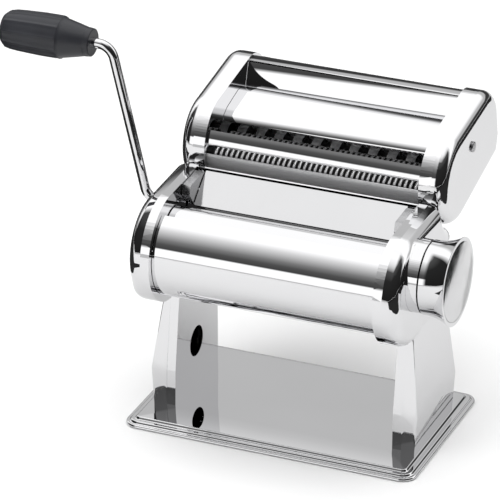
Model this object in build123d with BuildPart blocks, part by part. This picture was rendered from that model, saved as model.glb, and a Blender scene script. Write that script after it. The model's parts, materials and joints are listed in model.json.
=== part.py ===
"""Hand-cranked pasta roller machine with a double cutting head, as an assembly of separate parts.

Frame: +X runs along the rollers towards the gap dial, +Y runs from the front guard to the
cutting head at the rear, +Z is up. The origin is the centre of the resting face. Millimetres.
"""

import os
from math import acos, cos, pi, radians, sin, sqrt, tan

from build123d import *

os.makedirs("parts", exist_ok=True)

# ---------------------------------------------------------------- driving dimensions
WORKING_WIDTH = 150.0  # between the side frames, so a 150 mm machine
INNER_X = WORKING_WIDTH / 2
FRAME_WEB = 2.0
FRAME_DEPTH = 6.0
RIM_X = INNER_X + FRAME_DEPTH  # seam between side frame and side cover
COVER_X = 91.0  # outer face of the side covers
COVER_WALL = 1.5
RUN = 0.05  # radial running clearance of every shaft

BASE_WIDTH = 200.0
BASE_LENGTH = 124.7
BASE_CORNER = 10.0
PLATEAU_Z = 5.4
SHEET = 1.5
PAD_THICK = 2.0

NOSE_Y = -36.0
NOSE_Z = 122.0
NOSE_R = 36.0
GUARD_R = 31.5
GUARD_SHEET = 1.2

ROLLER_R = 16.0
ROLLER_Z = 132.0
REAR_ROLLER_Y = 2.0
ROLLER_PITCH = 35.0  # axis to axis with the gap wide open
FRONT_ROLLER_Y = REAR_ROLLER_Y - ROLLER_PITCH
GAP_TRAVEL = 2.6
SHAFT_R = 6.0
ROLLER_TEETH = 14
ROLLER_GEAR_R = (ROLLER_PITCH - GAP_TRAVEL) / 2  # pitch radius with the gap closed

LEG_FRONT_Y = -32.0
LEG_REAR_Y = 38.0
LEG_CREASE_Z = 30.0
CLAMP_HOLE_R = 10.4
CLAMP_HOLE_Y = 2.8
CLAMP_HOLE_Z = 36.0

DIAL_R = 28.5
COLLAR_R = 23.5
DIAL_FACE_X = 117.5
DIAL_STEPS = 7

CRANK_ROD_R = 3.25
CRANK_SOCKET_R = CRANK_ROD_R + RUN
CRANK_ELBOW_X = -108.0
CRANK_TOP_X = -132.5
CRANK_TOP_Z = 235.5
GRIP_START_X = -145.0
GRIP_END_X = -208.0

CUT_Y = 42.0  # centre of the cutting head's round nose
CUT_Z = 165.0
CUT_TILT = 12.0
CUT_NOSE_R = 30.0
CUT_INNER_X = 73.0
CUT_RIM_X = 81.0
CUT_COVER_X = 90.5
CUT_GUARD_R = 26.5
CUT_ROLLER_R = 9.0
CUT_CORE_R = 6.6
CUT_PITCH = 16.0
CUT_TEETH = 12
CUT_SHAFT_R = 3.5
FINE_FRONT = (-15.0, -5.0)  # (along, above) the head's own tilted axis
FINE_REAR = (FINE_FRONT[0] + CUT_PITCH, FINE_FRONT[1])
WIDE_FRONT = (20.0, -13.0)
WIDE_REAR = (WIDE_FRONT[0] + CUT_PITCH, WIDE_FRONT[1])
WIDE_RING = 6.5
FINE_RING = 1.8
RING_SIDE_PLAY = 0.15


# ---------------------------------------------------------------- shared helpers
def finish(piece, name):
    """Label a finished piece and write its STEP file."""
    piece.part.label = name
    export_step(piece.part, f"parts/{name}.step")


def side_plane(x):
    """The YZ plane at x: sketch x is +Y and sketch y is +Z."""
    return Plane.YZ.offset(x)


def head_plane(x):
    """The cutting head's tilted section plane at x, with its origin at the nose centre."""
    tilt = radians(CUT_TILT)
    return Plane(origin=(x, CUT_Y, CUT_Z), x_dir=(0, cos(tilt), sin(tilt)), z_dir=(1, 0, 0))


def head_point(along, above):
    """Y and Z of a point given in the head's tilted section."""
    tilt = radians(CUT_TILT)
    return CUT_Y + along * cos(tilt) - above * sin(tilt), CUT_Z + along * sin(tilt) + above * cos(tilt)


def on_circle(centre, radius, degrees):
    """The point of a circle at an angle."""
    return centre[0] + radius * cos(radians(degrees)), centre[1] + radius * sin(radians(degrees))


def turned(plane, profile):
    """A solid of revolution about the plane's x axis from (x, radius) points."""
    with BuildPart() as piece:
        with BuildSketch(plane):
            with BuildLine():
                Polyline(*profile, close=True)
            make_face()
        revolve(axis=Axis(plane.origin, plane.x_dir))
    return piece


def axis_plane(y, z):
    """A plane through a shaft axis that runs along X: sketch x is +X."""
    return Plane(origin=(0, y, z), x_dir=(1, 0, 0), z_dir=(0, -1, 0))


def arc_sheet(plane, centre, radius, start, end, thickness, half_width):
    """Sheet metal rolled about a centre, from one angle to another, across the machine."""
    middle = (start + end) / 2
    inner = radius - thickness
    with BuildPart() as piece:
        with BuildSketch(plane):
            with BuildLine():
                ThreePointArc(*(on_circle(centre, radius, a) for a in (start, middle, end)))
                Line(on_circle(centre, radius, end), on_circle(centre, inner, end))
                ThreePointArc(*(on_circle(centre, inner, a) for a in (end, middle, start)))
                Line(on_circle(centre, inner, start), on_circle(centre, radius, start))
            make_face()
        extrude(amount=half_width, both=True)
    return piece


def bent_sheet(plane, outline, half_width):
    """Sheet metal with a closed (y, z) outline carried across the machine."""
    with BuildPart() as piece:
        with BuildSketch(plane):
            with BuildLine():
                Polyline(*outline, close=True)
            make_face()
        extrude(amount=half_width, both=True)
    return piece


def involute(angle_cos):
    """Involute function of the pressure angle whose cosine is given."""
    angle = acos(angle_cos)
    return tan(angle) - angle


def gear_outline(pitch_r, teeth, tip_r, root_r, thickness, first):
    """Points of an involute spur gear; first is the angle of its first tooth in degrees."""
    base_r = pitch_r * cos(radians(20.0))
    low_r = max(root_r, base_r)
    radii = [low_r + (tip_r - low_r) * k / 3 for k in range(4)]
    half = [thickness / (2 * pitch_r) + involute(base_r / pitch_r) - involute(base_r / r) for r in radii]
    points = []
    for tooth in range(teeth):
        middle = radians(first) + 2 * pi * tooth / teeth
        flank = [(root_r, half[0] + 0.04)] + list(zip(radii, half))
        for r, turn in flank:
            points.append((r * cos(middle - turn), r * sin(middle - turn)))
        for r, turn in reversed(flank):
            points.append((r * cos(middle + turn), r * sin(middle + turn)))
    return points


def spur_gear(plane, centre, outline, width, bore):
    """A spur gear extruded along +X from its plane."""
    moved = [(centre[0] + y, centre[1] + z) for y, z in outline]
    with BuildPart() as piece:
        with BuildSketch(plane):
            with BuildLine():
                Polyline(*moved, close=True)
            make_face()
            with Locations(centre):
                Circle(bore, mode=Mode.SUBTRACT)
        extrude(amount=width)
    return piece


# ---------------------------------------------------------------- base
SCREW_X = INNER_X + 4.0
BASE_SCREW_R = 1.8

with BuildPart() as base_plate:
    with BuildSketch(Plane.XY.offset(0.3)):
        RectangleRounded(BASE_WIDTH, BASE_LENGTH, BASE_CORNER)
    extrude(amount=2.1)
    with BuildSketch(Plane.XY.offset(2.4)):
        RectangleRounded(BASE_WIDTH - 6, BASE_LENGTH - 6, BASE_CORNER - 3)
    extrude(amount=1.4)
    with BuildSketch(Plane.XY.offset(3.8)):
        RectangleRounded(BASE_WIDTH - 13, BASE_LENGTH - 13, BASE_CORNER - 5)
    extrude(amount=PLATEAU_Z - 3.8)
    with BuildSketch(Plane.XY.offset(0.3)):
        RectangleRounded(BASE_WIDTH - 18, BASE_LENGTH - 18, 4)
    extrude(amount=PLATEAU_Z - SHEET - 0.3, mode=Mode.SUBTRACT)
    with Locations((0, (LEG_FRONT_Y + LEG_REAR_Y) / 2, PLATEAU_Z)):
        with GridLocations(2 * SCREW_X, 50, 2, 2):
            Hole(BASE_SCREW_R, depth=SHEET)
finish(base_plate, "base_plate")

with BuildPart() as anti_slip_pad:
    with BuildSketch(Plane.XY):
        RectangleRounded(BASE_WIDTH - 18.6, BASE_LENGTH - 18.6, 4)
    extrude(amount=PAD_THICK)
    with Locations((0, (LEG_FRONT_Y + LEG_REAR_Y) / 2, PAD_THICK)):
        with GridLocations(2 * SCREW_X, 50, 2, 2):
            Hole(4.5, depth=0.6)
finish(anti_slip_pad, "anti_slip_pad")

with BuildPart() as base_screws:
    with Locations((0, (LEG_FRONT_Y + LEG_REAR_Y) / 2, PLATEAU_Z - SHEET)):
        with GridLocations(2 * SCREW_X, 50, 2, 2):
            Cylinder(BASE_SCREW_R, 6.5, align=(Align.CENTER, Align.CENTER, Align.MIN))
            Cylinder(3.6, 2.2, align=(Align.CENTER, Align.CENTER, Align.MAX))
finish(base_screws, "base_screws")


# ---------------------------------------------------------------- side frames
REAR_CURVE_R = CUT_NOSE_R + 1.2  # the body's rear is scooped round the head's nose
TOP_START = on_circle((NOSE_Y, NOSE_Z), NOSE_R, 92.3)
REAR_TOP = (8.4, 159.7)
SCOOP = [on_circle((CUT_Y, CUT_Z), REAR_CURVE_R, a) for a in (196, 220, 244)]


def side_outline(foot):
    """The side view from its foot points up: round nose, flat top and scooped rear."""
    with BuildSketch() as outline:
        with BuildLine():
            Polyline(*foot, (-24, NOSE_Z), TOP_START, REAR_TOP, SCOOP[0])
            ThreePointArc(*SCOOP)
            Polyline(SCOOP[2], (33, 95), foot[0])
        make_face()
        with Locations((NOSE_Y, NOSE_Z)):
            Circle(NOSE_R)
    return outline.sketch


BODY_FOOT = (
    (LEG_REAR_Y, 46), (LEG_REAR_Y, PLATEAU_Z), (LEG_FRONT_Y, PLATEAU_Z), (LEG_FRONT_Y + 0.5, LEG_CREASE_Z), (-24, 84),
)
CHEEK_FOOT = ((33.7, 88), (-24, 88))
body_side = side_outline(BODY_FOOT)
cheek_side = side_outline(CHEEK_FOOT)


TIE_ROD_PLACES = ((-52.0, 104.0), (20.0, 92.0), (21.0, 114.0))
TIE_ROD_R = 3.0
BUSH_R = 9.0
BLOCK = 15.0


def make_side_frame(side):
    """A pan of sheet steel, open outwards: web, edge flange, bearings and the clamp hole."""
    with BuildPart() as frame:
        with BuildSketch(side_plane(side * INNER_X)):
            add(body_side)
        extrude(amount=side * FRAME_DEPTH)
        with BuildSketch(side_plane(side * (INNER_X + FRAME_WEB))):
            add(body_side)
            offset(amount=-FRAME_WEB, mode=Mode.REPLACE)
        extrude(amount=side * (FRAME_DEPTH - FRAME_WEB), mode=Mode.SUBTRACT)
        with BuildSketch(side_plane(side * INNER_X)):
            with Locations((REAR_ROLLER_Y, ROLLER_Z)):
                Circle(BUSH_R)
            with Locations((FRONT_ROLLER_Y + GAP_TRAVEL / 2, ROLLER_Z)):
                Rectangle(BLOCK + GAP_TRAVEL + 0.2, BLOCK + 0.1)
            with Locations((CLAMP_HOLE_Y, CLAMP_HOLE_Z)):
                Circle(CLAMP_HOLE_R)
            with Locations(*TIE_ROD_PLACES):
                Circle(TIE_ROD_R)
        extrude(amount=side * FRAME_WEB, mode=Mode.SUBTRACT)
        with Locations((side * SCREW_X, (LEG_FRONT_Y + LEG_REAR_Y) / 2, PLATEAU_Z)):
            with GridLocations(1, 50, 1, 2):
                Cylinder(BASE_SCREW_R, 3 * FRAME_WEB, mode=Mode.SUBTRACT)
    return frame


left_side_frame = make_side_frame(-1)
finish(left_side_frame, "left_side_frame")
right_side_frame = make_side_frame(1)
finish(right_side_frame, "right_side_frame")


# ---------------------------------------------------------------- side covers
LEG_OUT = ((PLATEAU_Z, 90.0), (LEG_CREASE_Z, 91.5), (84.0, 85.0))  # (height, outer X)


def leg_level(side, height, out_x, inset):
    """The leg cover's section at one height, from the seam to its outer face."""
    front = (LEG_FRONT_Y if height <= LEG_CREASE_Z else -24.0) + inset
    rear = (LEG_REAR_Y if height <= LEG_CREASE_Z else 34.2) - inset
    level = Plane(origin=(side * (RIM_X + out_x - inset) / 2, (front + rear) / 2, height))
    return Face.make_rect(out_x - inset - RIM_X, rear - front, level)


SHOULDER_R = 6.0


def make_side_cover(side, shaft_y, shaft_hole_r):
    """A pressed cover: round-shouldered cheek over a flared leg, hollow towards the side frame."""
    depth = COVER_X - RIM_X
    end = Axis.X if side > 0 else -Axis.X
    with BuildPart(mode=Mode.PRIVATE) as pocket:
        with BuildSketch(side_plane(side * RIM_X)):
            add(cheek_side)
            offset(amount=-COVER_WALL, mode=Mode.REPLACE)
        extrude(amount=side * (depth - COVER_WALL))
        fillet(pocket.faces().sort_by(end)[-1].edges(), radius=SHOULDER_R - COVER_WALL)
    with BuildPart() as cover:
        with BuildSketch(side_plane(side * RIM_X)):
            add(cheek_side)
        extrude(amount=side * depth)
        fillet(cover.faces().sort_by(end)[-1].edges(), radius=SHOULDER_R)
        for (low_z, low_x), (high_z, high_x) in zip(LEG_OUT, LEG_OUT[1:]):
            loft([leg_level(side, low_z, low_x, 0), leg_level(side, high_z, high_x, 0)], ruled=True)
        extrude(leg_level(side, 84, 85, 0), amount=10)
        add(pocket.part, mode=Mode.SUBTRACT)
        for (low_z, low_x), (high_z, high_x) in zip(LEG_OUT, LEG_OUT[1:]):
            inner = [leg_level(side, low_z, low_x, COVER_WALL), leg_level(side, high_z, high_x, COVER_WALL)]
            loft(inner, ruled=True, mode=Mode.SUBTRACT)
        extrude(leg_level(side, 84, 85, COVER_WALL), amount=12, mode=Mode.SUBTRACT)
        with BuildSketch(side_plane(side * RIM_X)):
            with Locations((shaft_y, ROLLER_Z)):
                Circle(shaft_hole_r)
        extrude(amount=side * (depth + 2), mode=Mode.SUBTRACT)
    return cover


ESCUTCHEON_R = 10.0
left_side_cover = make_side_cover(-1, REAR_ROLLER_Y, ESCUTCHEON_R)
finish(left_side_cover, "left_side_cover")
right_side_cover = make_side_cover(1, FRONT_ROLLER_Y, COLLAR_R)
finish(right_side_cover, "right_side_cover")

ESCUTCHEON = ((-93.0, 7.3), (-93.0, 11.0), (-91.0, 12.0), (-91.0, 10.0), (-88.0, 10.0), (-88.0, 7.3))
crank_escutcheon = turned(axis_plane(REAR_ROLLER_Y, ROLLER_Z), ESCUTCHEON)
finish(crank_escutcheon, "crank_escutcheon")


# ---------------------------------------------------------------- sheet metal between the sides
INNER_HALF = INNER_X - 0.3
SECTION = side_plane(0)

with BuildPart() as front_guard:
    with BuildSketch(SECTION):
        with BuildLine():
            centre = (NOSE_Y, NOSE_Z)
            bottom = (NOSE_Y, NOSE_Z - GUARD_R)
            inner_r = GUARD_R - GUARD_SHEET
            ThreePointArc(on_circle(centre, GUARD_R, 116.8), on_circle(centre, GUARD_R, 190), bottom)
            Line(bottom, (-26, bottom[1]))
            Line((-26, bottom[1]), (-26, bottom[1] + GUARD_SHEET))
            Line((-26, bottom[1] + GUARD_SHEET), (NOSE_Y, bottom[1] + GUARD_SHEET))
            ThreePointArc(
                (NOSE_Y, bottom[1] + GUARD_SHEET),
                on_circle(centre, inner_r, 190),
                on_circle(centre, inner_r, 116.8),
            )
            Line(on_circle(centre, inner_r, 116.8), on_circle(centre, GUARD_R, 116.8))
        make_face()
    extrude(amount=INNER_HALF, both=True)
finish(front_guard, "front_guard")

REAR_SKIN_R = REAR_CURVE_R + 1.3
with BuildPart() as rear_cover:
    with BuildSketch(SECTION):
        with BuildLine():
            head_axis = (CUT_Y, CUT_Z)
            outer = [on_circle(head_axis, REAR_SKIN_R, a) for a in (192, 219, 246)]
            inner = [on_circle(head_axis, REAR_SKIN_R + GUARD_SHEET, a) for a in (192, 219, 246)]
            ThreePointArc(*outer)
            Polyline(outer[2], (31.2, 95), (29.5, 84), (12, 84), (12, 85.2), (28.5, 85.2), (30.0, 95), inner[2])
            ThreePointArc(inner[2], inner[1], inner[0])
            Line(inner[0], outer[0])
        make_face()
    extrude(amount=INNER_HALF, both=True)
    with Locations((0, 28, 117.7)):
        with GridLocations(2 * 70.7, 1, 2, 1):
            Box(16, 20, 10.6, align=(Align.CENTER, Align.CENTER, Align.MIN), mode=Mode.SUBTRACT)
finish(rear_cover, "rear_cover")

TRAY = ((-13.5, 142.2), (6.0, 156.2), (6.0, 157.6), (-0.5, 153.2), (-14.2, 143.3))
feed_tray = bent_sheet(SECTION, TRAY, INNER_HALF - 6)
finish(feed_tray, "feed_tray")

with BuildPart() as nip_guides:
    for side in (-1, 1):
        with BuildSketch(side_plane(side * INNER_HALF)):
            with BuildLine():
                Polyline((-20, 151.5), (-13.9, 143.8), (5.0, 157.2), (2.0, 158.6), (-18, 157.5), close=True)
            make_face()
        extrude(amount=-side * 5.5)
finish(nip_guides, "nip_guides")

FRONT_SCRAPER = ((-49.0, 107.8), (-43.9, 118.0), (-43.0, 117.6), (-47.6, 108.6), (-36, 98), (-36.8, 97.2))
front_scraper = bent_sheet(SECTION, FRONT_SCRAPER, INNER_HALF - 1)
finish(front_scraper, "front_scraper")

REAR_SCRAPER = ((17.2, 108.5), (12.7, 117.9), (13.6, 118.4), (18.6, 108.2), (10.0, 97.2), (9.2, 97.9))
rear_scraper = bent_sheet(SECTION, REAR_SCRAPER, INNER_HALF - 1)
finish(rear_scraper, "rear_scraper")

with BuildPart() as tie_rods:
    for y, z in TIE_ROD_PLACES:
        with Locations(Plane(origin=(0, y, z), z_dir=(1, 0, 0))):
            Cylinder(TIE_ROD_R, 2 * (INNER_X + FRAME_WEB))
            Cylinder(2.0, 2 * (RIM_X - 0.3))
finish(tie_rods, "tie_rods")

with BuildPart() as tie_rod_nuts:
    for y, z in TIE_ROD_PLACES:
        for side in (-1, 1):
            with BuildSketch(side_plane(side * (INNER_X + FRAME_WEB))):
                with Locations((y, z)):
                    RegularPolygon(3.6, 6)
                    Circle(2.0, mode=Mode.SUBTRACT)
            extrude(amount=side * 3.2)
finish(tie_rod_nuts, "tie_rod_nuts")


# ---------------------------------------------------------------- rollers and their bearings
def bush_profile(side):
    """Flanged plain bush that sits in the side frame's web."""
    bore = SHAFT_R + RUN
    inside = side * (INNER_X - 0.2)
    shelf = side * (INNER_X + FRAME_WEB)
    outside = side * (INNER_X + FRAME_WEB + 1.2)
    return ((inside, bore), (inside, BUSH_R), (shelf, BUSH_R), (shelf, BUSH_R + 1), (outside, BUSH_R + 1), (outside, bore))


with BuildPart() as rear_roller_bushes:
    for side in (-1, 1):
        with BuildSketch(axis_plane(REAR_ROLLER_Y, ROLLER_Z)):
            with BuildLine():
                Polyline(*bush_profile(side), close=True)
            make_face()
        revolve(axis=Axis((0, REAR_ROLLER_Y, ROLLER_Z), (1, 0, 0)))
finish(rear_roller_bushes, "rear_roller_bushes")

with BuildPart() as front_bearing_blocks:
    for side in (-1, 1):
        with BuildSketch(side_plane(side * (INNER_X - 0.2))):
            with Locations((FRONT_ROLLER_Y, ROLLER_Z)):
                Rectangle(BLOCK, BLOCK)
                Circle(SHAFT_R + RUN, mode=Mode.SUBTRACT)
        extrude(amount=side * 3.4)
finish(front_bearing_blocks, "front_bearing_blocks")

ROLLER_HALF = INNER_X - 0.4
ROLLER_BORE_R = 12.5


def roller_profile(left_end, right_end):
    """Half section of a roller tube with end plugs and a shaft, as (x, radius)."""
    return (
        (left_end, 0), (left_end, SHAFT_R), (-ROLLER_HALF, SHAFT_R), (-ROLLER_HALF, ROLLER_R - 0.5),
        (-ROLLER_HALF + 0.5, ROLLER_R), (ROLLER_HALF - 0.5, ROLLER_R), (ROLLER_HALF, ROLLER_R - 0.5),
        (ROLLER_HALF, SHAFT_R), (right_end, SHAFT_R), (right_end, 0), (ROLLER_HALF - 8, 0),
        (ROLLER_HALF - 8, ROLLER_BORE_R), (-ROLLER_HALF + 8, ROLLER_BORE_R), (-ROLLER_HALF + 8, 0),
    )


GEAR_X = -86.0
GEAR_WIDTH = 6.5
front_roller = turned(axis_plane(FRONT_ROLLER_Y, ROLLER_Z), roller_profile(GEAR_X, RIM_X - 1.5))
finish(front_roller, "front_roller")

SOCKET_X = -93.5
SOCKET_DEPTH = 22.0
with BuildPart() as rear_roller:
    with BuildSketch(axis_plane(REAR_ROLLER_Y, ROLLER_Z)):
        with BuildLine():
            Polyline(*roller_profile(SOCKET_X, RIM_X - 1.5), close=True)
        make_face()
    revolve(axis=Axis((0, REAR_ROLLER_Y, ROLLER_Z), (1, 0, 0)))
    with Locations(Plane(origin=(SOCKET_X, REAR_ROLLER_Y, ROLLER_Z), z_dir=(-1, 0, 0))):
        Hole(CRANK_SOCKET_R, depth=SOCKET_DEPTH)
    with Locations((SOCKET_X, REAR_ROLLER_Y, ROLLER_Z)):
        Box(5.2, 2.6, 14, mode=Mode.SUBTRACT)
finish(rear_roller, "rear_roller")

ROLLER_GEAR_TIP = ROLLER_GEAR_R + 2.1
ROLLER_GEAR_ROOT = ROLLER_GEAR_R - 2.6
ROLLER_TOOTH = pi * ROLLER_GEAR_R / ROLLER_TEETH - 0.5
HALF_TOOTH = 180.0 / ROLLER_TEETH
GEAR_PLANE = side_plane(GEAR_X)
for name, y, first in (("front_roller_gear", FRONT_ROLLER_Y, 0.0), ("rear_roller_gear", REAR_ROLLER_Y, 180.0 + HALF_TOOTH)):
    outline = gear_outline(ROLLER_GEAR_R, ROLLER_TEETH, ROLLER_GEAR_TIP, ROLLER_GEAR_ROOT, ROLLER_TOOTH, first)
    finish(spur_gear(GEAR_PLANE, (y, ROLLER_Z), outline, GEAR_WIDTH, SHAFT_R), name)


# ---------------------------------------------------------------- gap dial
DIAL_PLANE = axis_plane(FRONT_ROLLER_Y, ROLLER_Z)
DIAL_SHAFT_R = 5.0
COLLAR_END_X = 98.0
with BuildPart() as dial_collar:
    with BuildSketch(DIAL_PLANE):
        with BuildLine():
            Polyline(
                (86.0, DIAL_SHAFT_R + RUN), (86.0, COLLAR_R - 0.1), (COLLAR_END_X, COLLAR_R - 0.1), (COLLAR_END_X, 10),
                (96.0, 10), (96.0, 20), (87.5, 20), (87.5, DIAL_SHAFT_R + RUN), close=True,
            )
        make_face()
    revolve(axis=Axis((0, FRONT_ROLLER_Y, ROLLER_Z), (1, 0, 0)))
    with Locations(Plane(origin=(COLLAR_END_X, FRONT_ROLLER_Y, ROLLER_Z), z_dir=(1, 0, 0))):
        with PolarLocations(16.0, DIAL_STEPS, start_angle=90, angular_range=-270):
            Hole(1.4, depth=2.0)
finish(dial_collar, "dial_collar")

with BuildPart() as dial_shaft:
    with BuildSketch(DIAL_PLANE):
        with BuildLine():
            Polyline(
                (82.5, 0), (82.5, 8), (85.7, 8), (85.7, DIAL_SHAFT_R), (113.0, DIAL_SHAFT_R), (113.0, 8.5),
                (115.0, 8.5), (115.0, 0), close=True,
            )
        make_face()
    revolve(axis=Axis((0, FRONT_ROLLER_Y, ROLLER_Z), (1, 0, 0)))
finish(dial_shaft, "dial_shaft")

KNOB_BACK_X = 99.0
KNOB_WEB_X = 103.0
CAP_X = 115.8
dial_knob = turned(
    DIAL_PLANE,
    (
        (KNOB_BACK_X, DIAL_SHAFT_R + RUN), (KNOB_BACK_X, 23.5), (101, 24.0), (105, 24.0), (110, 25.2), (114, 27.2),
        (116, DIAL_R), (117, DIAL_R), (117, 25.6), (CAP_X, 25.6), (CAP_X, 24.5), (112, 23), (KNOB_WEB_X, 21),
        (KNOB_WEB_X, DIAL_SHAFT_R + RUN),
    ),
)
finish(dial_knob, "dial_knob")
dial_cap = turned(DIAL_PLANE, ((CAP_X, 0), (CAP_X, 25.5), (117.0, 25.5), (DIAL_FACE_X, 24.5), (DIAL_FACE_X, 0)))
finish(dial_cap, "dial_cap")
with BuildPart() as dial_index_pin:
    with Locations((98.7, FRONT_ROLLER_Y, ROLLER_Z + 16.0)):
        Cylinder(1.2, 0.6, rotation=(0, 90, 0))
finish(dial_index_pin, "dial_index_pin")

with BuildPart() as dial_spring:
    with BuildLine():
        coil = Helix(2.2, 8.8, 6.6, center=(KNOB_WEB_X + 0.6, FRONT_ROLLER_Y, ROLLER_Z), direction=(1, 0, 0))
    with BuildSketch(Plane(origin=coil @ 0, z_dir=coil % 0)):
        Circle(0.5)
    sweep(path=coil, is_frenet=True)
finish(dial_spring, "dial_spring")


# ---------------------------------------------------------------- crank
with BuildPart() as crank_rod:
    with BuildLine(Plane(origin=(0, REAR_ROLLER_Y, 0), x_dir=(1, 0, 0), z_dir=(0, -1, 0))):
        bends = FilletPolyline(
            (SOCKET_X + SOCKET_DEPTH - 1, ROLLER_Z), (CRANK_ELBOW_X, ROLLER_Z), (CRANK_TOP_X, CRANK_TOP_Z),
            (GRIP_END_X + 7, CRANK_TOP_Z), radius=11,
        )
    with BuildSketch(Plane(origin=bends @ 0, z_dir=bends % 0)):
        Circle(CRANK_ROD_R)
    sweep(path=bends)
    with Locations((SOCKET_X + 1.3, REAR_ROLLER_Y, ROLLER_Z)):
        Cylinder(1.1, 2 * CRANK_ROD_R + 1, mode=Mode.SUBTRACT)
finish(crank_rod, "crank_rod")

with BuildPart() as crank_cross_pin:
    with Locations((SOCKET_X + 1.3, REAR_ROLLER_Y, ROLLER_Z)):
        Cylinder(1.1, 11.0)
finish(crank_cross_pin, "crank_cross_pin")

GRIP_PLANE = axis_plane(REAR_ROLLER_Y, CRANK_TOP_Z)
GRIP_POCKET_X = GRIP_END_X + 7.5
crank_grip = turned(
    GRIP_PLANE,
    (
        (GRIP_START_X, CRANK_SOCKET_R), (GRIP_START_X, 8.6), (GRIP_START_X - 2, 9.4), (-164, 12.6), (-166, 14.0),
        (-180, 14.2), (-200, 13.0), (GRIP_END_X + 2.5, 12.2), (GRIP_END_X + 2.5, 6.2), (GRIP_POCKET_X, 6.2),
        (GRIP_POCKET_X, CRANK_SOCKET_R),
    ),
)
finish(crank_grip, "crank_grip")
crank_washer = turned(
    GRIP_PLANE,
    ((GRIP_POCKET_X - 0.3, CRANK_ROD_R), (GRIP_POCKET_X - 0.3, 5.6), (GRIP_POCKET_X - 1.5, 5.6), (GRIP_POCKET_X - 1.5, CRANK_ROD_R)),
)
finish(crank_washer, "crank_washer")
crank_grip_cap = turned(
    GRIP_PLANE,
    (
        (GRIP_END_X + 2.5, 0), (GRIP_END_X + 2.5, 12.2), (GRIP_END_X + 1.4, 11.2), (GRIP_END_X + 0.4, 8.5),
        (GRIP_END_X, 4.0), (GRIP_END_X, 0),
    ),
)
finish(crank_grip_cap, "crank_grip_cap")


# ---------------------------------------------------------------- cutting head: ends
def head_outline(inset):
    """The head's tilted side view: round nose, long top, rounded rear corner."""
    top = (0, CUT_NOSE_R - inset)
    rear_top = (51, 28 - inset)
    rear = (75 - inset, 4)
    with BuildSketch() as outline:
        with BuildLine():
            Line(top, rear_top)
            ThreePointArc(rear_top, (68 - 0.7 * inset, 21 - 0.7 * inset), rear)
            Polyline(rear, (75 - inset, -14), (68 - 0.6 * inset, -27 + inset), (0, -CUT_NOSE_R + inset), top)
        make_face()
        Circle(CUT_NOSE_R - inset)
    return outline.sketch


HEAD_ROLLERS = {"fine_front": FINE_FRONT, "fine_rear": FINE_REAR, "wide_front": WIDE_FRONT, "wide_rear": WIDE_REAR}
DRIVEN = (FINE_REAR, WIDE_FRONT)
HEAD_ROD_PLACES = ((55.0, 18.0), (60.0, -18.0), (10.0, -23.5))


def make_head_frame(side):
    """End frame of the head: an open pan with plain bearings for the four cutting rollers."""
    with BuildPart() as frame:
        with BuildSketch(head_plane(side * CUT_INNER_X)):
            add(head_outline(0))
        extrude(amount=side * (CUT_RIM_X - CUT_INNER_X))
        with BuildSketch(head_plane(side * (CUT_INNER_X + 2.0))):
            add(head_outline(FRAME_WEB))
        extrude(amount=side * (CUT_RIM_X - CUT_INNER_X - 2.0), mode=Mode.SUBTRACT)
        with BuildSketch(head_plane(side * CUT_INNER_X)):
            with Locations(*HEAD_ROLLERS.values()):
                Circle(CUT_SHAFT_R + RUN)
            with Locations(*HEAD_ROD_PLACES):
                Circle(2.5)
        extrude(amount=side * 2.0, mode=Mode.SUBTRACT)
    return frame


cutter_left_frame = make_head_frame(-1)
finish(cutter_left_frame, "cutter_left_frame")
cutter_right_frame = make_head_frame(1)
finish(cutter_right_frame, "cutter_right_frame")


def make_head_cover(side, openings):
    """Round-shouldered end cover of the head, hollow over the gears."""
    depth = CUT_COVER_X - CUT_RIM_X
    end = Axis.X if side > 0 else -Axis.X
    with BuildPart(mode=Mode.PRIVATE) as pocket:
        with BuildSketch(head_plane(side * CUT_RIM_X)):
            add(head_outline(COVER_WALL))
        extrude(amount=side * (depth - COVER_WALL))
        fillet(pocket.faces().sort_by(end)[-1].edges(), radius=6.0)
    with BuildPart() as cover:
        with BuildSketch(head_plane(side * CUT_RIM_X)):
            add(head_outline(0))
        extrude(amount=side * depth)
        fillet(cover.faces().sort_by(end)[-1].edges(), radius=7.5)
        add(pocket.part, mode=Mode.SUBTRACT)
        with BuildSketch(head_plane(side * CUT_RIM_X)):
            for place, radius in openings:
                with Locations(place):
                    Circle(radius)
        extrude(amount=side * 12, mode=Mode.SUBTRACT)
    return cover


HEAD_SCREW_PLACES = ((23.4, 8.9),)
HEAD_SOCKET_R = CUT_SHAFT_R + 2.0
cutter_left_cover = make_head_cover(-1, [(p, HEAD_SOCKET_R + 0.3) for p in DRIVEN] + [(p, 2.0) for p in HEAD_SCREW_PLACES])
finish(cutter_left_cover, "cutter_left_cover")
cutter_right_cover = make_head_cover(1, [(p, 2.0) for p in HEAD_SCREW_PLACES])
finish(cutter_right_cover, "cutter_right_cover")

with BuildPart() as cutter_cover_screws:
    for side in (-1, 1):
        for place in HEAD_SCREW_PLACES:
            y, z = head_point(*place)
            with BuildSketch(side_plane(side * (CUT_INNER_X + 2.0))):
                with Locations((y, z)):
                    Circle(2.0)
            extrude(amount=side * (CUT_COVER_X - CUT_INNER_X - 2.0))
            with BuildSketch(side_plane(side * CUT_COVER_X)):
                with Locations((y, z)):
                    Circle(3.4)
            extrude(amount=side * 1.2)
finish(cutter_cover_screws, "cutter_cover_screws")

with BuildPart() as cutter_tie_rods:
    for place in HEAD_ROD_PLACES:
        with Locations(Plane(origin=(0, *head_point(*place)), z_dir=(1, 0, 0))):
            Cylinder(2.5, 2 * (CUT_INNER_X + 2.0))
finish(cutter_tie_rods, "cutter_tie_rods")


# ---------------------------------------------------------------- cutting head: sheet metal
HEAD_SECTION = head_plane(0)
HEAD_HALF = CUT_INNER_X - 0.2

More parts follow.
